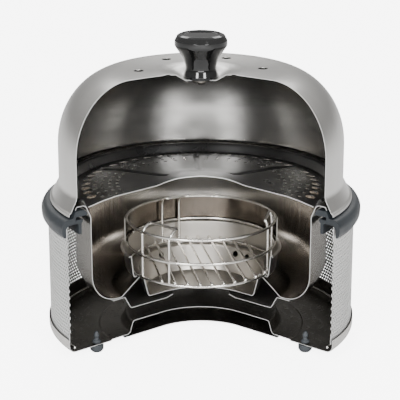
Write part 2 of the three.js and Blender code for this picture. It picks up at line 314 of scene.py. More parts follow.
def pierced_surface(line, wedge, holes, step, count=COLUMNS, extra=None, lift=None, sides=14):
    """A turned surface whose radius grows all along the line, with round holes (r, azimuth, hole radius). It
    is triangulated in a plan where a point's distance from the centre is its reach along the line. Points
    lie on rings a step apart, on the cut, round each hole, and wherever extra asks for more."""
    reach = line_reach(line)
    inner, outer = reach[0], reach[-1]
    to_reach = lambda r: np.interp(r, line[:, 0], reach)
    hole_reach = to_reach(holes[:, 0])

    def clear_of_holes(s, azimuth, margin):
        across = (azimuth[:, None] - holes[:, 1] + math.pi) % (2 * math.pi) - math.pi
        return (np.hypot(s[:, None] - hole_reach, across * holes[:, 0]) > holes[:, 2] * margin).all(axis=1)

    share = cut_columns(count)
    rim = math.pi + share * (math.pi - cut_azimuth(line[-1, 0], wedge))
    nearest = abs(wedge[1] - wedge[2] / math.sin(wedge[0]) + wedge[2])
    steps = np.linspace(0, 1, 90)[:-1]
    side_r = nearest + (line[-1, 0] - nearest) * steps**1.7
    side_s, side_a = to_reach(side_r), cut_azimuth(side_r, wedge)
    border_s = np.concatenate([np.full(len(rim), outer), side_s[::-1], side_s[1:]])
    border_a = np.concatenate([rim, 2 * math.pi - side_a[::-1], side_a[1:]])
    rings_s, rings_a = [], []
    for k, s in enumerate(np.arange(max(inner, 0.5 * step), outer - 0.4 * step, step)):
        r = np.interp(s, reach, line[:, 0])
        around = max(6, round(2 * math.pi * r / step))
        azimuth = (np.arange(around) + 0.5 * (k % 2)) * 2 * math.pi / around
        gap = cut_azimuth(r, wedge) + 0.45 * step / r * (r > nearest)
        azimuth = azimuth[(azimuth > gap) & (azimuth < 2 * math.pi - gap)]
        rings_s.append(np.full(len(azimuth), s))
        rings_a.append(azimuth)
    ring_s, ring_a = np.concatenate(rings_s), np.concatenate(rings_a)
    if extra is not None:
        extra_s, extra_a, keep = extra(ring_s, ring_a, to_reach)
        ring_s, ring_a = np.concatenate([ring_s[keep], extra_s]), np.concatenate([ring_a[keep], extra_a])
    free = clear_of_holes(ring_s, ring_a, 1.55)
    turn = np.arange(sides) * 2 * math.pi / sides
    loop_s = (hole_reach[:, None] + holes[:, 2:] * np.cos(turn)).ravel()
    loop_a = (holes[:, 1:2] + holes[:, 2:] * np.sin(turn) / holes[:, :1]).ravel()
    halo_s = (hole_reach[:, None] + 1.3 * holes[:, 2:] * np.cos(turn)).ravel()
    halo_a = (holes[:, 1:2] + 1.3 * holes[:, 2:] * np.sin(turn) / holes[:, :1]).ravel()
    s = np.concatenate([border_s, loop_s, halo_s, ring_s[free]])
    azimuth = np.concatenate([border_a, loop_a, halo_a, ring_a[free]])
    plan = polar(s, azimuth, 0)[:, :2]
    border = np.arange(len(border_s))
    links = [np.stack([border, np.roll(border, -1)], axis=1)]
    first = len(border_s) + np.arange(len(holes))[:, None] * sides
    around = np.arange(sides)
    links.append(np.stack([first + around, first + (around + 1) % sides], axis=-1).reshape(-1, 2))
    made = geometry.delaunay_2d_cdt([Vector(p) for p in plan], np.concatenate(links).tolist(), [], 1, 1e-7)
    origin = np.array([o[0] if o else -1 for o in made[3]])
    triangles = np.array([f for f in made[2] if len(f) == 3])
    triangles = origin[triangles]
    triangles = triangles[(triangles >= 0).all(axis=1)]
    centre = plan[triangles].mean(axis=1)
    centre_s = np.hypot(*centre.T)
    centre_a = np.arctan2(centre[:, 0], -centre[:, 1]) % (2 * math.pi)
    triangles = triangles[clear_of_holes(centre_s, centre_a, 0.97)]
    direction = line_normals(line)
    r, z = np.interp(s, reach, line[:, 0]), np.interp(s, reach, line[:, 1])
    nr, nz = np.interp(s, reach, direction[:, 0]), np.interp(s, reach, direction[:, 1])
    if lift is not None:
        z = z + lift(r, azimuth)
    cut = np.zeros(len(s), bool)
    cut[len(rim) - 1:len(border_s)] = True
    cut[0] = True
    return {
        "points": polar(r, azimuth, z),
        "normals": polar(nr, azimuth, nz),
        "chart": np.stack([azimuth * line[-1, 0], s], axis=-1),
        "cut": cut,
        "faces": [triangles],
    }


def group_sockets(name, inputs, outputs):
    """An empty shader group with named inputs and outputs, and its two end nodes."""
    group = bpy.data.node_groups.new(name, "ShaderNodeTree")
    for label, kind, value in inputs:
        socket = group.interface.new_socket(name=label, in_out="INPUT", socket_type=kind)
        if value is not None:
            socket.default_value = value
    for label, kind in outputs:
        group.interface.new_socket(name=label, in_out="OUTPUT", socket_type=kind)
    return group, node(group, "NodeGroupInput", (-700, 0)), node(group, "NodeGroupOutput", (500, 0))


# Drawn grain: noise squeezed across the strokes and stretched along them, fine strokes over broad ones.
drawn_grain, ends_in, ends_out = group_sockets(
    "drawn_grain",
    [("Chart", "NodeSocketVector", None), ("Across", "NodeSocketFloat", 90.0),
     ("Along", "NodeSocketFloat", 2.0)],
    [("Strokes", "NodeSocketFloat"), ("Bands", "NodeSocketFloat")])
split = node(drawn_grain, "ShaderNodeSeparateXYZ", (-520, 120))
across = node(drawn_grain, "ShaderNodeMath", (-360, 180), operation="MULTIPLY")
along = node(drawn_grain, "ShaderNodeMath", (-360, 0), operation="MULTIPLY")
stretch = node(drawn_grain, "ShaderNodeCombineXYZ", (-200, 100))
strokes = node(drawn_grain, "ShaderNodeTexNoise", (0, 160), {"Scale": 1.0, "Detail": 3.0})
wide = node(drawn_grain, "ShaderNodeVectorMath", (-20, -120), {1: (0.06, 0.35, 1.0)}, operation="MULTIPLY")
bands = node(drawn_grain, "ShaderNodeTexNoise", (160, -120), {"Scale": 1.0, "Detail": 2.0})
connect(drawn_grain, (ends_in, "Chart", split, 0), (split, "X", across, 0), (ends_in, "Across", across, 1),
        (split, "Y", along, 0), (ends_in, "Along", along, 1), (across, 0, stretch, "X"),
        (along, 0, stretch, "Y"), (stretch, 0, strokes, "Vector"), (stretch, 0, wide, 0),
        (wide, 0, bands, "Vector"), (strokes, "Fac", ends_out, "Strokes"), (bands, "Fac", ends_out, "Bands"))

# Handling marks: large soft clouds where hands and heat have dulled a surface.
handling, ends_in, ends_out = group_sockets(
    "handling_marks", [("Place", "NodeSocketVector", None), ("Size", "NodeSocketFloat", 9.0)],
    [("Clouds", "NodeSocketFloat")])
clouds = node(handling, "ShaderNodeTexNoise", (-200, 120), {"Detail": 4.0, "Roughness": 0.6})
soften = node(handling, "ShaderNodeMapRange", (100, 120), {"From Min": 0.34, "From Max": 0.72},
              interpolation_type="SMOOTHSTEP")
connect(handling, (ends_in, "Place", clouds, "Vector"), (ends_in, "Size", clouds, "Scale"),
        (clouds, "Fac", soften, "Value"), (soften, 0, ends_out, "Clouds"))


def steel(name, bright, dull, smooth, rough, across=90.0, along=2.0, relief=0.12, cloud_size=9.0, metal=1.0,
          spun=0.0, painted_shade=None):
    """Stainless steel whose colour runs from bright to dull and whose roughness runs from smooth to rough,
    by its handling marks and its drawn grain. The grain also stands up a little. On a spun piece the finest
    turning marks run round the axis, so a highlight stretches along the profile. A piece may be given a
    painted shade: its colour is painted darker from the clear height to the dark height, towards the shade
    colour, given as (clear height, dark height, colour), with the heights in millimetres."""
    made = bpy.data.materials.new(name)
    made.use_nodes = True
    tree = made.node_tree
    shader = tree.nodes["Principled BSDF"]
    set_inputs(shader, {"Metallic": metal, "Anisotropic": spun, "Anisotropic Rotation": 0.25})
    where = node(tree, "ShaderNodeTexCoord", (-1200, 0))
    grain = node(tree, "ShaderNodeGroup", (-950, 200), {"Across": across, "Along": along},
                 node_tree=drawn_grain)
    marks = node(tree, "ShaderNodeGroup", (-950, -120), {"Size": cloud_size}, node_tree=handling)
    tint = node(tree, "ShaderNodeMix", (-480, 300), {"A": (*bright, 1), "B": (*dull, 1)}, data_type="RGBA")
    blend = node(tree, "ShaderNodeMix", (-700, 60), {"Factor": 0.5}, data_type="FLOAT")
    spread = node(tree, "ShaderNodeMapRange", (-480, 20),
                  {"From Min": 0.25, "From Max": 0.75, "To Min": smooth, "To Max": rough})
    bump = node(tree, "ShaderNodeBump", (-260, -200), {"Strength": relief, "Distance": 0.0004})
    connect(tree, (where, "UV", grain, "Chart"), (where, "Object", marks, "Place"),
            (marks, "Clouds", blend, "A"), (grain, "Bands", blend, "B"), (blend, "Result", tint, "Factor"),
            (grain, "Strokes", spread, "Value"), (grain, "Strokes", bump, "Height"),
            (spread, "Result", shader, "Roughness"), (bump, "Normal", shader, "Normal"))
    coloured = tint
    # Painted shade: the colour is mixed towards a dark shade colour by height above the floor pan.
    if painted_shade:
        clear, dark, shade_colour = painted_shade
        height = node(tree, "ShaderNodeSeparateXYZ", (-950, 480))
        shade_by_height = node(tree, "ShaderNodeMapRange", (-700, 480),
                    {"From Min": DATUM + min(clear, dark) * MM, "From Max": DATUM + max(clear, dark) * MM,
                     "To Min": float(dark < clear), "To Max": float(dark > clear)},
                    interpolation_type="SMOOTHSTEP")
        coloured = node(tree, "ShaderNodeMix", (-260, 420), {"B": (*shade_colour, 1)}, data_type="RGBA")
        connect(tree, (where, "Object", height, 0), (height, "Z", shade_by_height, "Value"),
                (shade_by_height, 0, coloured, "Factor"), (tint, "Result", coloured, "A"))
    connect(tree, (coloured, "Result", shader, "Base Color"))
    if spun:
        round_axis = node(tree, "ShaderNodeTangent", (-260, -420), direction_type="UV_MAP", uv_map="surface")
        connect(tree, (round_axis, "Tangent", shader, "Tangent"))
    return made


pan_steel = steel("pan_steel", (0.60, 0.585, 0.56), (0.48, 0.465, 0.44), 0.26, 0.42, across=60, along=14)
# Darker copy of the pan steel for the inward faces of the pan, the bottom disc and the wall, and for the
# washer and screw: painted shade.
pan_steel_painted_shade = steel("pan_steel_painted_shade", (0.22, 0.205, 0.185), (0.12, 0.11, 0.097), 0.24, 0.40, across=60, along=14)
cut_steel = steel("cut_steel", (0.66, 0.66, 0.65), (0.54, 0.54, 0.53), 0.35, 0.5, metal=0.5, relief=0.05)

DRUM_RADIUS = 77.0
DRUM_TOP = 14.5
PAN_RADIUS = 154.9
PAN_RIM = 14.0
DRUM_VENTS = np.array([(60.0, math.radians(a), 3.4) for a in (118, 163, 208, 242)])

pan_middle = SHEET / 2
drum_line = spaced(np.array([(2.8, DRUM_TOP), (70.0, DRUM_TOP)]), 4.0)
pan_line = spaced(rounded([(70.0, DRUM_TOP), (DRUM_RADIUS, DRUM_TOP, 2.6),
                           (DRUM_RADIUS + 4.5, pan_middle + 1.5, 4.0), (103.4, pan_middle + 1.2, 0.6),
                           (104.8, pan_middle, 0.6), (PAN_RADIUS, pan_middle, 7), (PAN_RADIUS, PAN_RIM)]), 4.0)
pan = sheet_piece("pan_sheet", joined(pierced_surface(drum_line, BODY_WEDGE, DRUM_VENTS, 5.0),
                                      turned_surface(pan_line, BODY_WEDGE)),
                  SHEET, pan_steel_painted_shade, cut_steel, pan_steel)
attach(pan, "base")
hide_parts("floor_pan")

# ---- Bottom plate ----------------------------------------------------------------------------------------
# A flat steel disc that closes the drum from below and is spot-welded to it. It has small vent holes of
# its own.
PLATE_VENTS = np.array([(r, math.radians(a), 2.6) for r, a in ((52, 128), (52, 232), (66, 205), (66, 155))])
bottom_line = spaced(np.array([(2.8, -0.9), (88.0, -0.9)]), 4.0)
bottom = sheet_piece("bottom_disc", pierced_surface(bottom_line, BODY_WEDGE, PLATE_VENTS, 6.0),
                     SHEET, pan_steel_painted_shade, cut_steel, pan_steel)
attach(bottom, "base")
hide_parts("bottom_plate")

# ---- Perforated wall -------------------------------------------------------------------------------------
# Perforated stainless sheet, rolled into a cylinder and cut through its holes at the front. It closes at the
# back, where a plain strap is welded over the joint.
WALL_RADIUS = 152.8
WALL_SHEET = 1.2
WALL_BOTTOM = 9.2
WALL_TOP = 127.6
HOLE_PITCH = 4.0
HOLE_RADIUS = 1.4
WALL_FIRST_ROW = 18.5
WALL_LAST_ROW = 121.0

mesh_steel = steel("mesh_steel", (0.60, 0.60, 0.59), (0.50, 0.50, 0.49), 0.34, 0.46, across=20, along=20,
                   metal=0.8)


def perforated_surface(start, end):
    """Staggered holes between two azimuths on the wall's cylinder. Each hole is the middle of a hexagonal
    cell: six quads run from the hole's corners to the cell's, and neighbours share the cell's corners. The
    first and last rows' outer corners are drawn level, and plain bands go on from them."""
    rise = HOLE_PITCH * math.sqrt(3) / 2
    rows = int((WALL_LAST_ROW - WALL_FIRST_ROW) / rise)
    around = int((end - start) * WALL_RADIUS / HOLE_PITCH)
    turn = math.pi / 6 + np.arange(6) * math.pi / 3
    col, row = np.meshgrid(np.arange(around), np.arange(rows), indexing="ij")
    x = (col + 0.5 * (row % 2))[..., None] * HOLE_PITCH + HOLE_PITCH / 2
    z = WALL_FIRST_ROW + row[..., None] * rise
    cell = HOLE_PITCH / math.sqrt(3)
    low, high = WALL_FIRST_ROW - cell, WALL_FIRST_ROW + (rows - 1) * rise + cell
    cell_x, cell_z = x + cell * np.cos(turn), z + cell * np.sin(turn)
    cell_z = np.where((row[..., None] == 0) & (np.sin(turn) < 0), low, cell_z)
    cell_z = np.where((row[..., None] == rows - 1) & (np.sin(turn) > 0), high, cell_z)
    hole_x, hole_z = x + HOLE_RADIUS * np.cos(turn), z + HOLE_RADIUS * np.sin(turn)
    sx = np.stack([cell_x, hole_x], axis=-1).reshape(-1, 6, 2)
    sz = np.stack([cell_z, hole_z], axis=-1).reshape(-1, 6, 2)
    index = np.arange(sx.size).reshape(-1, 6, 2)
    after = np.roll(index, -1, axis=1)
    quads = np.stack([index[..., 1], index[..., 0], after[..., 0], after[..., 1]], axis=-1).reshape(-1, 4)
    parts_x, parts_z, faces, count = [sx.ravel()], [sz.ravel()], [quads], sx.size
    for level, bottom_z, top_z, shift in ((low, WALL_BOTTOM, low, 0), (high, high, WALL_TOP, (rows - 1) % 2)):
        band_x = (np.arange(2 * around + 1) + shift) * HOLE_PITCH / 2
        lower, upper = count + np.arange(len(band_x)), count + len(band_x) + np.arange(len(band_x))
        parts_x += [band_x, band_x]
        parts_z += [np.full(len(band_x), bottom_z), np.full(len(band_x), top_z)]
        faces.append(np.stack([lower[:-1], lower[1:], upper[1:], upper[:-1]], axis=1))
        count += 2 * len(band_x)
    s, height = np.concatenate(parts_x), np.concatenate(parts_z)
    azimuth = start + s / WALL_RADIUS
    return {
        "points": polar(WALL_RADIUS, azimuth, height),
        "normals": polar(1.0, azimuth, 0.0),
        "chart": np.stack([azimuth * WALL_RADIUS, height], axis=-1),
        "cut": np.zeros(len(s), bool),
        "faces": faces,
    }


wall_cut = cut_azimuth(WALL_RADIUS, BODY_WEDGE)
for side_name, start, end in (("right", wall_cut, math.pi), ("left", math.pi, 2 * math.pi - wall_cut)):
    wall = sheet_piece(f"mesh_wall_{side_name}", perforated_surface(float(start), float(end)), WALL_SHEET,
                       mesh_steel, cut_steel, pan_steel_painted_shade)
    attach(wall, "base")
    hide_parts("perforated_wall")



def upright_strip(radius, azimuth, heights):
    """A strip on a cylinder about the axis, with a column at each azimuth and a row at each height."""
    index = np.arange(len(heights) * len(azimuth)).reshape(len(heights), len(azimuth))
    quads = np.stack([index[:-1, :-1], index[:-1, 1:], index[1:, 1:], index[1:, :-1]], axis=-1)
    heights = heights[:, None]
    return {
        "points": polar(radius, azimuth, heights).reshape(-1, 3),
        "normals": polar(1.0, azimuth, np.zeros_like(heights)).reshape(-1, 3),
        "chart": np.stack(np.broadcast_arrays(azimuth * radius, heights), -1).reshape(-1, 2),
        "cut": np.zeros(index.size, bool),
        "faces": [quads.reshape(-1, 4)],
    }


STRAP_RADIUS = 154.0
STRAP_HALF_WIDTH = 7.0
strap_surface = upright_strip(STRAP_RADIUS, math.pi + np.linspace(-1, 1, 9) * STRAP_HALF_WIDTH / STRAP_RADIUS,
                              np.linspace(WALL_BOTTOM + 6.0, WALL_TOP - 12.0, 27))
strap = sheet_piece("wall_strap", strap_surface, 0.8, pan_steel, cut_steel)
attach(strap, "base")

# ---- Hem wire --------------------------------------------------------------------------------------------
# A plain steel wire, bent into an open ring. It lies in the pan's rounded corner and keeps the wall's lower
# edge off the floor.
wire_steel = steel("wire_steel", (0.74, 0.72, 0.68), (0.60, 0.58, 0.54), 0.16, 0.28, across=8, along=40,
                   relief=0.05)


def wire_mesh(path, radius, closed=False, sides=14):
    """A round wire: circles of the given radii, square to the path at each of its points. A dome closes each
    end of an open wire: at angle t its circle has radius r sin(t), set out by r cos(t)."""
    path, radius = np.asarray(path, float), np.broadcast_to(np.asarray(radius, float), len(path)).copy()
    if closed:
        forward = np.roll(path, -1, axis=0) - np.roll(path, 1, axis=0)
    else:
        forward = np.gradient(path, axis=0)
    forward /= np.linalg.norm(forward, axis=1, keepdims=True)
    if not closed:
        dome = np.linspace(0.12, math.pi / 2, 5)[:, None]
        starts = path[:1] - forward[:1] * radius[0] * np.cos(dome)
        ends = path[-1:] + forward[-1:] * radius[-1] * np.cos(dome[::-1])
        path = np.concatenate([starts, path[1:-1], ends])
        taper = np.sin(dome[:, 0])
        radius = np.concatenate([radius[0] * taper, radius[1:-1], radius[-1] * taper[::-1]])
        forward = np.concatenate([np.repeat(forward[:1], 5, 0), forward[1:-1], np.repeat(forward[-1:], 5, 0)])
    if (np.abs(forward[:, 2]) < 0.8).any() and (np.abs(forward[:, 2]) >= 0.8).any():
        inward = path.mean(axis=0) - path
        helper = inward - forward * (inward * forward).sum(axis=1, keepdims=True)
    else:
        helper = np.where(np.abs(forward[:, 2:]) < 0.8, np.array([[0, 0, 1.0]]), np.array([[1.0, 0, 0]]))
    side = np.cross(forward, helper)
    side /= np.linalg.norm(side, axis=1, keepdims=True)
    up = np.cross(side, forward)
    turn = np.arange(sides) * 2 * math.pi / sides
    ring = side[:, None] * np.cos(turn)[:, None] + up[:, None] * np.sin(turn)[:, None]
    points = (path[:, None] + ring * radius[:, None, None]).reshape(-1, 3)
    index = np.arange(len(points)).reshape(-1, sides)
    if closed:
        index = np.concatenate([index, index[:1]])
    around = np.roll(index, -1, axis=1)
    faces = np.stack([index[:-1], index[1:], around[1:], around[:-1]], axis=-1).reshape(-1, 4).tolist()
    if not closed:
        faces += [index[0].tolist(), index[-1, ::-1].tolist()]
    corners = np.concatenate(faces).astype(int)
    length = np.concatenate([[0], np.cumsum(np.linalg.norm(np.diff(path, axis=0), axis=1))])
    return points, faces, np.stack([(corners % sides) * radius.mean(), length[corners // sides]], axis=-1)


def wire_piece(name, strands, finish):
    """One piece of several wires. Each strand is (path, radius, closed)."""
    points, faces, charts, count = [], [], [], 0
    for path, radius, closed in strands:
        some, made, chart = wire_mesh(path, radius, closed)
        points.append(some)
        faces += [[corner_index + count for corner_index in face] for face in made]
        charts.append(chart)
        count += len(some)
    return mesh_piece(name, np.concatenate(points), faces, np.concatenate(charts), np.zeros(len(faces)),
                      [finish])


hem_radius, hem_level = 149.0, 5.2
hem_azimuth = np.linspace(0, 1, 160) * 2 * (math.pi - cut_azimuth(hem_radius, BODY_WEDGE))
hem_path = polar(hem_radius, hem_azimuth + cut_azimuth(hem_radius, BODY_WEDGE), hem_level)
hem = wire_piece("hem_wire_round", [(hem_path, 1.5, False)], wire_steel)
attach(hem, "base")
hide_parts("hem_wire")

# ---- Grip ring -------------------------------------------------------------------------------------------
# One moulding of dark blue-grey nylon, by which the cooker is carried. Its skirt covers the wall's top edge,
# an inner leg stands inside the wall, and a collar carries the bowl's rim over a narrow channel.
def moulded(name, colour, worn, smooth, rough, pore_scale, relief):
    """Moulded plastic or rubber: fine pores stand up from the surface, and handling marks change its colour
    towards the worn one and its roughness from smooth to rough."""
    made = bpy.data.materials.new(name)
    made.use_nodes = True
    tree = made.node_tree
    shader = tree.nodes["Principled BSDF"]
    where = node(tree, "ShaderNodeTexCoord", (-1000, 0))
    marks = node(tree, "ShaderNodeGroup", (-780, 160), {"Size": 22.0}, node_tree=handling)
    pores = node(tree, "ShaderNodeTexNoise", (-780, -160), {"Scale": pore_scale, "Detail": 2.0})
    tint = node(tree, "ShaderNodeMix", (-420, 260), {"A": (*colour, 1), "B": (*worn, 1)}, data_type="RGBA")
    spread = node(tree, "ShaderNodeMapRange", (-420, 20), {"To Min": smooth, "To Max": rough})
    bump = node(tree, "ShaderNodeBump", (-300, -200), {"Strength": relief, "Distance": 0.0003})
    connect(tree, (where, "Object", marks, "Place"), (where, "Object", pores, "Vector"),
            (marks, "Clouds", tint, "Factor"), (marks, "Clouds", spread, "Value"),
            (pores, "Fac", bump, "Height"), (tint, "Result", shader, "Base Color"),
            (spread, "Result", shader, "Roughness"), (bump, "Normal", shader, "Normal"))
    return made


grip_nylon = moulded("grip_nylon", (0.009, 0.012, 0.015), (0.016, 0.020, 0.024), 0.42, 0.58, 700.0, 0.25)


def turned_solid(name, outline, wedge, finish, edge_finish, count=COLUMNS):
    """A closed outline (r, z), anticlockwise, carried round the axis, with its section as the end faces where
    it is cut. An outline that starts and ends on the axis is closed by its own first and last points."""
    share = cut_columns(count) if wedge else np.linspace(-1, 1, count)
    edge = cut_azimuth(outline[:, 0], wedge) if wedge else np.zeros(len(outline))
    azimuth = math.pi + share * (math.pi - edge[:, None])
    points = polar(outline[:, :1], azimuth, outline[:, 1:]).reshape(-1, 3)
    rows, cols = azimuth.shape
    index = np.arange(rows * cols).reshape(rows, cols)
    ahead = np.roll(index, -1, axis=0)
    quads = np.stack([index[:, :-1], index[:, 1:], ahead[:, 1:], ahead[:, :-1]], axis=-1).reshape(-1, 4)
    chart = np.stack(np.broadcast_arrays(azimuth * outline[:, 0].max(), line_reach(outline)[:, None]), -1)
    chart = chart.reshape(-1, 2)
    _, first, merged = np.unique(np.round(points, 4) + 0.0, axis=0, return_index=True, return_inverse=True)
    merged = merged.reshape(-1)
    corners = merged[quads]
    whole = (corners != np.roll(corners, -1, axis=1)).all(axis=1) & (corners[:, 0] != corners[:, 2])
    faces = corners[whole].tolist()
    charts = [chart[quads[whole]].reshape(-1, 2)]
    for few, raw in zip(corners[~whole].tolist(), quads[~whole].tolist()):
        kept = [i for i in range(4) if few[i] != few[i - 1]]
        if len(set(few)) == 3 and len(kept) == 3:
            faces.append([few[i] for i in kept])
            charts.append(chart[[raw[i] for i in kept]])
    sides = len(faces)
    if wedge:
        for column in (index[:, 0], index[::-1, -1]):
            faces.append(merged[column].tolist())
            charts.append(chart[column])
    slots = np.concatenate([np.zeros(sides), np.ones(len(faces) - sides)])
    return mesh_piece(name, points[first], faces, np.concatenate(charts), slots, [finish, edge_finish])


grip_outline = rounded([
    (155.3, 119.1, 0.5), (157, 118.5, 0.8), (159.4, 122.5, 5), (159.9, 129.5, 7), (156.6, 136.0, 5),
    (146.8, 136.6, 1.0), (144.0, 142.8, 1.6), (133.6, 142.8, 2.4), (130.4, 139.4, 1.2), (130.4, 137.1, 0.5),
    (143.8, 137.1, 0.4), (143.8, 134.0, 0.4), (135.6, 134.0, 0.5), (135.6, 131.6, 0.8), (137.3, 130.2, 0.8),
    (137.3, 119.5, 0.6), (140.6, 119.5, 0.6), (140.6, 130.4, 1.2), (151.6, 130.4, 1.5), (155.3, 127.6, 2.0),
], steps=5)
grip = turned_solid("grip_moulding", grip_outline, BODY_WEDGE, grip_nylon, grip_nylon)
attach(grip, "base")
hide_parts("grip_ring")

# ---- Feet ------------------------------------------------------------------------------------------------
# Four slate-grey rubber feet, each pushed through the floor from below: a domed pad outside, and a barbed
# stem with a flange inside.
foot_rubber = moulded("foot_rubber", (0.020, 0.024, 0.028), (0.034, 0.039, 0.044),
                      0.55, 0.75, 500.0, 0.3)
PAD_LINE = rounded([(0, -8.0), (4.6, -8.0, 1.2), (6.9, -5.2, 2.5), (7.0, -0.4, 0.6), (0, -0.4)], steps=5)
STEM_LINE = rounded([(0, 1.4), (4.4, 1.4, 0.4), (4.4, 3.6, 0.8), (2.6, 4.6, 1.0), (2.2, 7.0), (3.1, 8.6, 0.5),
                     (1.5, 12.9, 0.6), (0, 13.0)], steps=4)
for number in range(1, 5):
    for part, line in ((f"foot_{number}", PAD_LINE), (f"foot_stem_{number}", STEM_LINE)):
        low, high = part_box(part)
        foot = turned_solid(f"{part}_rubber", line, None, foot_rubber, foot_rubber, count=33)
        shift = ((low.x + high.x) / 2 - AXIS[0], (low.y + high.y) / 2 - AXIS[1], 0)
        foot.data.transform(Matrix.Translation(shift))
        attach(foot, "base")
        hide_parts(part)

# ---- Moated bowl -----------------------------------------------------------------------------------------
# Deep-drawn polished stainless steel. A wide flange curls down at the rim, the wall drops into a deep moat
# for water, and the middle rises into a collar that holds the fire tray.
# Painted shade: the bowl's colour grows darker from 95 mm down to 42 mm, into the moat.
bowl_steel = steel("bowl_steel", (0.72, 0.70, 0.67), (0.56, 0.53, 0.49), 0.15, 0.26, across=70, along=1.6,
                   relief=0.04, cloud_size=7.0, painted_shade=(95.0, 42.0, (0.13, 0.11, 0.09)))
bowl_line = spaced(rounded([(143.9, 144.2), (142.8, 147.1, 1.6), (132.4, 147.1, 6), (126.3, 134, 9),
                            (126, 43.3, 30), (91, 43.3, 5), (68.2, 59.6)], steps=14), 3.0)
bowl = sheet_piece("bowl_sheet", turned_surface(bowl_line, BODY_WEDGE), SHEET, bowl_steel, cut_steel)
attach(bowl, "bowl")
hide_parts("moat_bowl")

# ---- Heat shield -----------------------------------------------------------------------------------------
# A shallow pan of thin steel under the bowl, which keeps the heat off the floor. It is open in the middle,
# and its flange is welded to the moat's floor.
shield_line = spaced(rounded([(29, 31), (36, 28.6, 3), (79.6, 29, 3), (87, 41.9, 2), (102, 41.9)]), 4.0)
shield = sheet_piece("shield_sheet", turned_surface(shield_line, BODY_WEDGE), SHEET, pan_steel, cut_steel)
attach(shield, "bowl")
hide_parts("heat_shield")

# ---- Fire tray -------------------------------------------------------------------------------------------
# Polished steel tray that hangs in the bowl's collar by its groove: a well with air holes, a ledge, and a
# tall wall with a rolled rim.
tray_steel = steel("tray_steel", (0.44, 0.42, 0.39), (0.30, 0.28, 0.25), 0.28, 0.40, across=80, along=1.5,
                   relief=0.05)
AIR_HOLES = np.array([(62.9, math.radians(a + 90), 3.3) for a in (-9, 5, 40, 54.5, 131.5, 145.5, 175, 189)])
well_line = spaced(rounded([(2.8, 36), (57.6, 36, 3), (64.4, 60.6)]), 3.0)
tray_line = spaced(rounded([(64.4, 60.6), (64.6, 61.2, 0.2), (70.5, 61.2, 0.4), (74.6, 60.2, 1.5), (76.3, 64),
                            (78.4, 83, 0.9), (80.6, 83.2, 0.9), (81.2, 82.2)]), 3.0)
tray = sheet_piece("tray_sheet", joined(pierced_surface(well_line, BODY_WEDGE, AIR_HOLES, 3.6),
                                        turned_surface(tray_line, BODY_WEDGE)),
                   SHEET, tray_steel, cut_steel)
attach(tray, "bowl")
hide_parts("fire_tray")

# ---- Fuel basket -----------------------------------------------------------------------------------------
# Bright plated wire, butt-welded into three rings and spot-welded together: ten floor bars lie on the bottom
# ring, three hoops join the rings and lift the basket, and each weld is a small bead.
BASKET_RADIUS = 74.6
FOOT_RADIUS = 73.4
WIRE_RADIUS = 1.4
BAR_RADIUS = 1.2
RING_LEVELS = {"bottom": 64.2, "middle": 87.6, "top": 112.0}
BAR_PITCH = 11.6
BAR_OFFSET = 3.7
BAR_TURN = math.radians(10)
# Each hoop's middle and half width in degrees from +X, and how far its top bar stands inside the ring.
HOOPS = {"left": (-129.4, 13.9, 12.5), "right": (-10.0, 12.6, 3.0), "rear": (116.6, 7.8, 12.5)}
HOOP_RISE = 5.0
RING_JOINT = {"bottom": 200.0, "middle": 128.0, "top": 121.0}


def bead(path_length, places, half_width, height):
    """Extra radius along a wire: a smooth hump of the given height and half width at each place."""
    share = np.clip(np.abs(path_length[:, None] - places) / half_width, 0, 1)
    return (height * (1 - share**2) ** 2).sum(axis=1)


for level, height in RING_LEVELS.items():
    ring_radius = FOOT_RADIUS if level == "bottom" else BASKET_RADIUS
    azimuth = np.arange(240) * 2 * math.pi / 240
    away = (azimuth - math.radians(RING_JOINT[level]) + math.pi) % (2 * math.pi) - math.pi
    swell = 0.5 * np.clip(1 - (away * ring_radius / 2.4) ** 2, 0, 1)
    ring = wire_piece(f"ring_wire_{level}",
                      [(polar(ring_radius, azimuth, height), WIRE_RADIUS + swell, True)], wire_steel)
    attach(ring, "basket")
    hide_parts(f"basket_ring_{level}")

bar_level = RING_LEVELS["bottom"] + WIRE_RADIUS + BAR_RADIUS - 0.2
for number in range(10):
    offset = (number - 4.5) * BAR_PITCH + BAR_OFFSET
    half = math.sqrt(FOOT_RADIUS**2 - offset**2)
    y = np.concatenate([[-half - 0.6], np.linspace(-half, half, 60), [half + 0.6]])
    path = np.stack([offset * math.cos(BAR_TURN) - y * math.sin(BAR_TURN),
                     offset * math.sin(BAR_TURN) + y * math.cos(BAR_TURN),
                     np.full(len(y), bar_level)], axis=1)
    radius = BAR_RADIUS + bead(y, np.array([-half, half]), 3.2, 0.75)
    bar = wire_piece(f"bar_wire_{number + 1}", [(path, radius, False)], wire_steel)
    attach(bar, "basket")
    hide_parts(f"basket_bar_{number + 1}")

hoop_radius = BASKET_RADIUS - 2 * WIRE_RADIUS + 0.15
for name, (middle_angle, half_angle, inset) in HOOPS.items():
    inward = -polar(inset, math.radians(middle_angle + 90), 0)
    top = RING_LEVELS["top"] + HOOP_RISE
    left, right = (polar(hoop_radius, math.radians(middle_angle + 90 + turn), 0)
                   for turn in (-half_angle, half_angle))
    corners = [left + [0, 0, bar_level - 1.0], left + [0, 0, top - 9], left + inward * 0.25 + [0, 0, top - 1],
               left + inward + [0, 0, top]]
    across_bar = [left + inward + [0, 0, top], right + inward + [0, 0, top]]
    share = np.linspace(0, 1, 26)[:, None]
    post = corners[0] + (corners[1] - corners[0]) * share
    bend = ((1 - share) ** 2) * corners[1] + 2 * share * (1 - share) * corners[2] + share**2 * corners[3]
    other_post = post - left + right
    other_bend = bend - left + right
    bar = across_bar[0] + (across_bar[1] - across_bar[0]) * share
    path = np.concatenate([post, bend[1:], bar[1:-1], other_bend[::-1], other_post[::-1][1:]])
    hoop = wire_piece(f"hoop_wire_{name}", [(path, WIRE_RADIUS, False)], wire_steel)
    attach(hoop, "basket")
    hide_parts(f"basket_hoop_{name}")
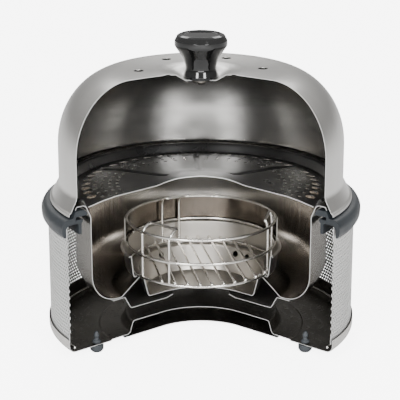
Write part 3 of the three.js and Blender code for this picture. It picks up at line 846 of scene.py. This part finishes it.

# ---- Ember guard -----------------------------------------------------------------------------------------
# A thin steel strip, bent round behind the upper two rings and spot-welded to them. It is polished outside,
# and its inside is painted dark brown to near black: a painted dark reflection and shade.
GUARD_RADIUS = 76.75
GUARD_SHEET = 0.7
# Painted reflection and shade: the strip's inside is coloured dark brown to near black.
guard_painted_reflection = steel("guard_painted_reflection", (0.26, 0.225, 0.19), (0.025, 0.02, 0.016), 0.12, 0.2, across=0.5,
                    along=0.2, relief=0.0)
guard_surface = upright_strip(GUARD_RADIUS, np.radians(np.linspace(-3, 183, 130) + 90),
                              np.linspace(RING_LEVELS["middle"] + 0.2, RING_LEVELS["top"] - 0.2, 9))
guard = sheet_piece("guard_strip", guard_surface, GUARD_SHEET, tray_steel, cut_steel, guard_painted_reflection)
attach(guard, "basket")
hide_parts("ember_guard")

# ---- Grill plate -----------------------------------------------------------------------------------------
# Pressed aluminium, bare below and with a black non-stick coating on top. Its low dome drains down grooves
# and through rings of holes into the bowl's moat, inside a raised rim.
PLATE_SHEET = 0.8
GROOVE_AZIMUTHS = np.radians([123, 183, 243])  # the other three were cut away
GROOVE_ENDS = (41.0, 112.0)
GROOVE_HALF_WIDTH = 4.0
GROOVE_DEPTH = 2.4
HOLE_STEP = math.radians(7.5)
SMALL_RINGS = (84.0, 91.5, 99.0, 106.5)

nonstick = moulded("nonstick_coating", (0.006, 0.006, 0.006), (0.010, 0.0095, 0.009),
                   0.27, 0.33, 900.0, 0.10)


def groove_distance(r, azimuth):
    """Distance from the nearest groove's middle line, which runs straight out from the centre."""
    away = (azimuth[:, None] - GROOVE_AZIMUTHS + math.pi) % (2 * math.pi) - math.pi
    along = np.clip(r[:, None] * np.cos(away), *GROOVE_ENDS)
    return np.hypot(r[:, None] * np.sin(away), r[:, None] * np.cos(away) - along).min(axis=1)


def groove_lift(r, azimuth):
    """Grooves as a smooth dip: -depth (1 - (d / half width)^2)^2 within the half width."""
    share = np.clip(groove_distance(r, azimuth) / GROOVE_HALF_WIDTH, 0, 1)
    return -GROOVE_DEPTH * (1 - share**2) ** 1.5


def groove_points(s, azimuth, to_reach):
    """Extra points on lines beside each groove's middle, in place of the ring points that lie there."""
    along, beside = np.meshgrid(np.arange(GROOVE_ENDS[0] - 4.5, GROOVE_ENDS[1] + 5, 2.2),
                                np.array([-4.6, -3.6, -2.6, -1.4, 0, 1.4, 2.6, 3.6, 4.6]))
    r = np.hypot(along, beside).ravel()
    turn = np.arctan2(beside, along).ravel()
    extra_a = ((GROOVE_AZIMUTHS[:, None] + turn) % (2 * math.pi)).ravel()
    extra_r = np.tile(r, len(GROOVE_AZIMUTHS))
    edge = cut_azimuth(extra_r, BODY_WEDGE) + 1.2 / extra_r
    inside = (extra_a > edge) & (extra_a < 2 * math.pi - edge)
    reach = line_reach(plate_line)
    return (to_reach(extra_r[inside]), extra_a[inside],
            groove_distance(np.interp(s, reach, plate_line[:, 0]), azimuth) > 5.8)


bare_aluminium = steel("bare_aluminium", (0.78, 0.78, 0.77), (0.66, 0.66, 0.65), 0.34, 0.48, across=30,
                       along=30)
plate_line = spaced(rounded([(2.8, 154.4), (24, 153.2, 60), (46, 149.7, 60), (97, 149.0, 60),
                             (112, 147.4, 50), (128.6, 144.6)]), 3.0)
rim_line = spaced(rounded([(128.6, 144.6), (130.0, 144.4, 1.6), (134.6, 152.6, 1.8), (137.0, 153.6, 1.0),
                           (138.2, 151.4)]), 2.0)
steps_round = np.arange(48) * HOLE_STEP
plate_holes = np.array(
    [(115.5, a, 5.0) for a in steps_round]
    + [(r, (a + HOLE_STEP / 2) % (2 * math.pi), 2.0) for r in SMALL_RINGS for a in steps_round])
hole_edge = cut_azimuth(plate_holes[:, 0], BODY_WEDGE) + (plate_holes[:, 2] + 2.0) / plate_holes[:, 0]
hole_room = groove_distance(plate_holes[:, 0], plate_holes[:, 1]) - 0.6 * plate_holes[:, 2]
plate_holes = plate_holes[(plate_holes[:, 1] > hole_edge) & (plate_holes[:, 1] < 2 * math.pi - hole_edge)
                          & (hole_room > 5.2)]
rim_surface = turned_surface(rim_line, BODY_WEDGE)
rim_surface["cut"] = np.zeros(len(rim_surface["points"]), bool)  # the coating runs over the rim's ends
plate = sheet_piece("grill_sheet",
                    joined(pierced_surface(plate_line, BODY_WEDGE, plate_holes, 4.0, extra=groove_points,
                                           lift=groove_lift, sides=12),
                           rim_surface),
                    PLATE_SHEET, nonstick, cut_steel, bare_aluminium)
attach(plate, "plate")
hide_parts("grill_plate")

# ---- Lid -------------------------------------------------------------------------------------------------
# Spun stainless steel, brushed outside and painted darker inside towards its top, as painted shade: a dished
# top with a raised step round it and vent holes, a round shoulder, and a flared skirt with a rolled rim that
# stands on the grip ring.
LID_WEDGE = (math.radians(57.5), -3.0, 32.0)
LID_RADIUS = 141.5
CROWN_RADIUS = 80.0
CROWN_LEVEL = 263.5
SHOULDER_BOTTOM = 192.0
VENTS = np.array([(61.0, math.radians(a + 90), 5.0) for a in (5, 65, 125, 185)])

lid_steel = steel("lid_steel", (0.60, 0.59, 0.57), (0.52, 0.51, 0.49), 0.27, 0.38, across=150, along=3.0,
                  relief=0.1, spun=0.5)
# Painted shade: the inside grows darker from 222 mm up to 262 mm, under the top of the dome.
lid_inside = steel("lid_inside", (0.60, 0.59, 0.57), (0.50, 0.49, 0.47), 0.17, 0.25, across=150, along=3.0,
                   relief=0.06, spun=0.3, painted_shade=(222.0, 262.0, (0.11, 0.105, 0.095)))
crown_line = spaced(rounded([(0, 255.4), (19, 255.4, 3), (30.6, 262.6, 3), (36, 262.9, 2), (37.6, 264.2, 1),
                             (41, 264.2, 2), (43.0, 263.7, 2), (CROWN_RADIUS, CROWN_LEVEL)]), 3.0)
shoulder_turn = np.linspace(math.pi / 2, 0, 40)
shoulder = np.stack([CROWN_RADIUS + (LID_RADIUS - CROWN_RADIUS) * np.cos(shoulder_turn),
                     SHOULDER_BOTTOM + (CROWN_LEVEL - SHOULDER_BOTTOM) * np.sin(shoulder_turn)], axis=1)
skirt = spaced(rounded([(LID_RADIUS, SHOULDER_BOTTOM), (LID_RADIUS, 155, 12), (148.4, 141.6, 2),
                        (150.3, 140.6, 1), (150.6, 138.1)]), 3.0)
lid = sheet_piece("lid_sheet",
                  joined(pierced_surface(crown_line, LID_WEDGE, VENTS, 4.0),
                         turned_surface(np.concatenate([shoulder, skirt[1:]]), LID_WEDGE)),
                  SHEET, lid_steel, cut_steel, lid_inside)
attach(lid, "lid")
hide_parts("lid_dome")

# ---- Knob and its fixing ---------------------------------------------------------------------------------
# A turned black phenolic knob with a recessed top, a waist for the fingers and a flared foot. A screw holds
# it from inside, with a wide washer under the lid's dish.
KNOB_FOOT = 256.3
knob_resin = moulded("knob_resin", (0.0035, 0.0035, 0.0035), (0.006, 0.006, 0.006),
                     0.05, 0.11, 260.0, 0.02)
knob_line = rounded([(0, 0), (17.6, 0, 0.5), (17.4, 2.4, 2.0), (14.6, 9.5, 9.0), (17.5, 19.5, 24.0),
                     (26.0, 32.0, 5.0), (25.9, 37.0, 0.5), (23.4, 41.9, 1.6), (20.6, 43.2, 0.8),
                     (18.6, 43.2, 0.7), (17.8, 41.9, 0.8), (0, 42.2)], steps=10)
knob_line[:, 1] += KNOB_FOOT
knob = turned_solid("knob_turning", spaced(knob_line, 3.0), None, knob_resin, knob_resin, count=97)
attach(knob, "lid")
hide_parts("knob")

washer_low, washer_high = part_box("knob_washer")
screw_low, screw_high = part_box("knob_screw")
washer_bottom, washer_top = (washer_low.z - DATUM) / MM, (washer_high.z - DATUM) / MM
washer_line = rounded([(0, washer_bottom), (10.9, washer_bottom, 0.4), (10.9, washer_top, 0.4),
                       (0, washer_top)])
washer = turned_solid("washer_disc", washer_line, None, pan_steel_painted_shade, pan_steel_painted_shade, count=49)
screw_bottom, screw_top = (screw_low.z - DATUM) / MM, (screw_high.z - DATUM) / MM
screw_line = rounded([(0, screw_bottom + 1.2), (1.8, screw_bottom + 1.2), (2.2, screw_bottom, 0.3),
                      (3.2, screw_bottom, 0.6), (5.0, screw_bottom + 1.9, 0.8), (5.0, screw_top),
                      (0, screw_top)])
screw = turned_solid("screw_head", screw_line, None, pan_steel_painted_shade, pan_steel_painted_shade, count=33)
for piece, cad_node in ((washer, "knob_washer"), (screw, "knob_screw")):
    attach(piece, "lid")
    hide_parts(cad_node)
